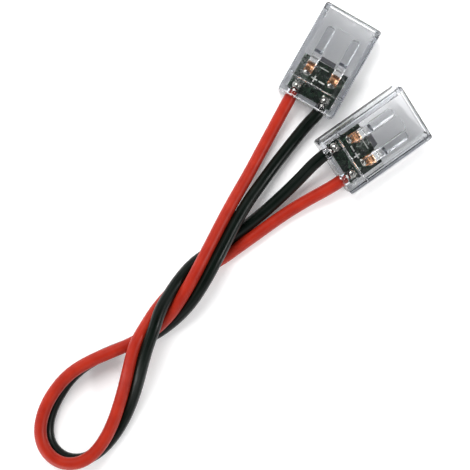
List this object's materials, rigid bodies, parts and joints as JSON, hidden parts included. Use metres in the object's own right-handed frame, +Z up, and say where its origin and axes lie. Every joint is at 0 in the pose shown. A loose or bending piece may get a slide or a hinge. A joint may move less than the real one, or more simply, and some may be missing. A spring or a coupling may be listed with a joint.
{
  "type": "led strip connector",
  "caption": "Clear hinged housings with spring contacts, joined by a twisted red and black lead, for bridging the cut ends of a light strip without soldering.",
  "frame": {"origin": "centre of the flat underside of the first housing, on the surface that the part lies on", "axes": "+Z up off the surface, +Y out of the first housing's strip mouth, away from the lead; +X to the second housing"},
  "size_m": [0.0347, 0.0885, 0.0069],
  "materials": {
    "clear_plastic": "clear gloss moulded polycarbonate",
    "circuit_board": "dark solder mask",
    "contact_copper": "bright rolled copper alloy",
    "bare_copper": "tinned copper strand",
    "solder": "bright solder",
    "red_insulation": "satin soft vinyl",
    "black_insulation": "satin soft vinyl"
  },
  "bodies": {
    "connector_lead": {"housing_a": "clear_plastic", "circuit_board_a": "circuit_board", "positive_contact_a": "contact_copper", "positive_conductor_a": "bare_copper", "positive_solder_a": "solder", "negative_contact_a": "contact_copper", "negative_conductor_a": "bare_copper", "negative_solder_a": "solder", "housing_b": "clear_plastic", "circuit_board_b": "circuit_board", "positive_contact_b": "contact_copper", "positive_conductor_b": "bare_copper", "positive_solder_b": "solder", "negative_contact_b": "contact_copper", "negative_conductor_b": "bare_copper", "negative_solder_b": "solder", "red_wire": "red_insulation", "black_wire": "black_insulation"},
    "lid_a": {"lid_a": "clear_plastic"},
    "lid_b": {"lid_b": "clear_plastic"}
  },
  "joints": [
    {"name": "lid_a_hinge", "type": "hinge", "parent": "connector_lead", "child": "lid_a", "pos_m": [0, -0.00477, 0.0036], "axis": [1, 0, 0], "range_deg": [0, 90]},
    {"name": "lid_b_hinge", "type": "hinge", "parent": "connector_lead", "child": "lid_b", "pos_m": [0.01103, -0.0123, 0.00477], "axis": [0.874, -0.4113, -0.2588], "range_deg": [0, 90]}
  ]
}
